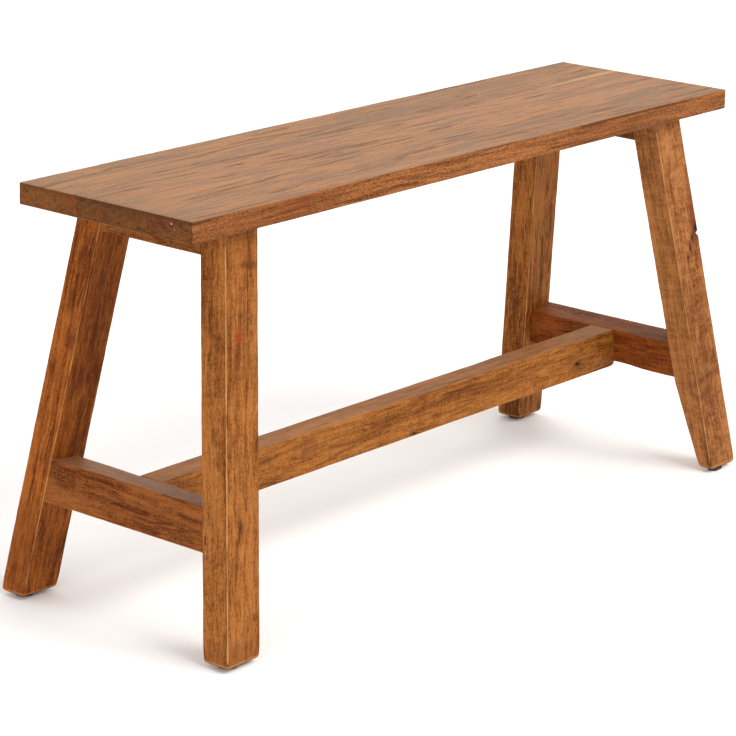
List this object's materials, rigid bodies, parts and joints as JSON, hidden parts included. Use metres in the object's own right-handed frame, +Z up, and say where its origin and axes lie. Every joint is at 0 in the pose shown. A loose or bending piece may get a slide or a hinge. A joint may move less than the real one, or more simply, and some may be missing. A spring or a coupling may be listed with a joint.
{
  "type": "backless bench",
  "caption": "Wooden backless bench: a boarded seat on splayed square legs, with an end stretcher at each end joined by a long stretcher.",
  "frame": {"origin": "on the floor under the middle of the bench", "axes": "+X along the seat, +Y across it towards the narrow back board, +Z up"},
  "size_m": [0.9, 0.324, 0.45],
  "materials": {
    "seat_board_front": "oiled, brushed grain, worn edges",
    "seat_board_back": "oiled, brushed grain, worn edges",
    "leg_wood": "oiled, worn edges, small knots",
    "stretcher_wood": "oiled, worn edges, small knots",
    "dowel_wood": "plain beech, ribbed by its press",
    "screw_steel": "yellow zinc plate",
    "pad_rubber": "black, slightly scuffed"
  },
  "bodies": {
    "root": {"seat_board_front": "seat_board_front", "seat_board_back": "seat_board_back", "seat_dowel_1": "dowel_wood", "seat_dowel_2": "dowel_wood", "seat_dowel_3": "dowel_wood", "seat_dowel_4": "dowel_wood", "leg_front_left": "leg_wood", "leg_back_left": "leg_wood", "upper_rail_left": "stretcher_wood", "end_stretcher_left": "stretcher_wood", "seat_screw_left_1": "screw_steel", "seat_screw_left_2": "screw_steel", "seat_screw_left_3": "screw_steel", "foot_pad_front_left": "pad_rubber", "foot_pad_back_left": "pad_rubber", "leg_front_right": "leg_wood", "leg_back_right": "leg_wood", "upper_rail_right": "stretcher_wood", "end_stretcher_right": "stretcher_wood", "seat_screw_right_1": "screw_steel", "seat_screw_right_2": "screw_steel", "seat_screw_right_3": "screw_steel", "foot_pad_front_right": "pad_rubber", "foot_pad_back_right": "pad_rubber", "long_stretcher": "stretcher_wood"}
  },
  "joints": []
}
